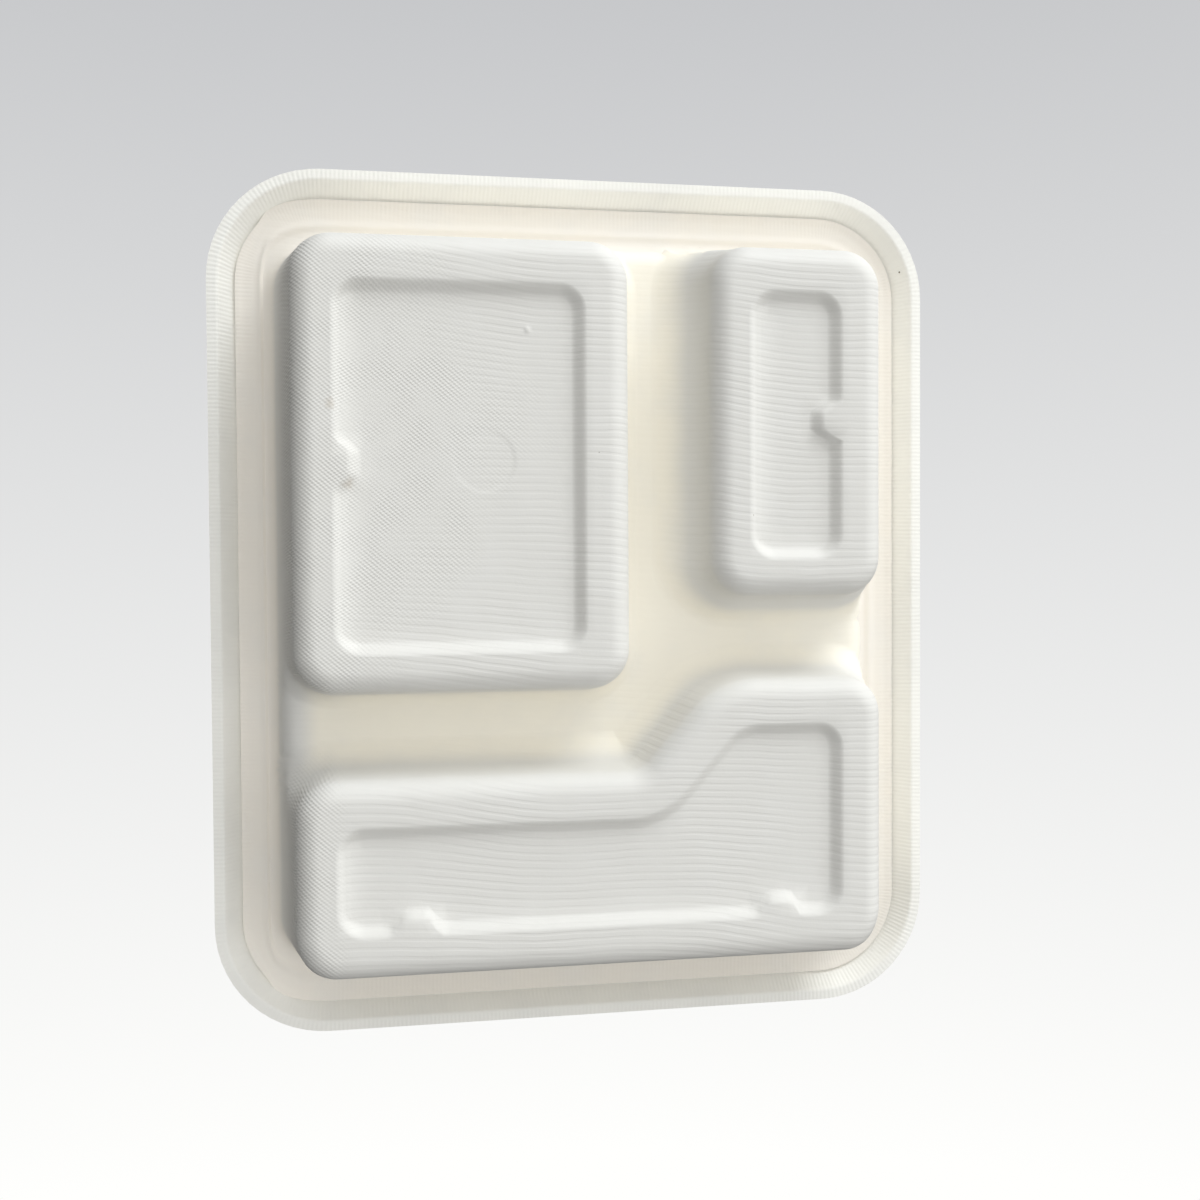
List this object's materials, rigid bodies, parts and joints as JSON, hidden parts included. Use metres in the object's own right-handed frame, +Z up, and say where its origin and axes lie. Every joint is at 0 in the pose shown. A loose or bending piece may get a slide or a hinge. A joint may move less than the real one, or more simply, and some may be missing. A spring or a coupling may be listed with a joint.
{
  "type": "compartment meal tray with lid",
  "caption": "Moulded-fibre meal tray divided into a large, a narrow and a long stepped compartment, with a fitted lift-off lid.",
  "frame": {"origin": "under the middle of the tray, on the plane that its feet rest on", "axes": "+Z up out of the open side of the tray, +Y along its longer side towards the long stepped compartment, +X towards the narrow compartment"},
  "size_m": [0.203, 0.2362, 0.0448],
  "materials": {
    "tray_fibre": "matt pressed plant fibre with a fine forming-mesh grain",
    "lid_fibre": "matt pressed plant fibre with a fine forming-mesh grain"
  },
  "bodies": {
    "tray_body": {"tray": "tray_fibre"},
    "lid_body": {"lid": "lid_fibre"}
  },
  "joints": [
    {"name": "lid_lift", "type": "slide", "parent": "tray_body", "child": "lid_body", "axis": [0, 0, 1], "range_m": [0, 0.06]}
  ]
}
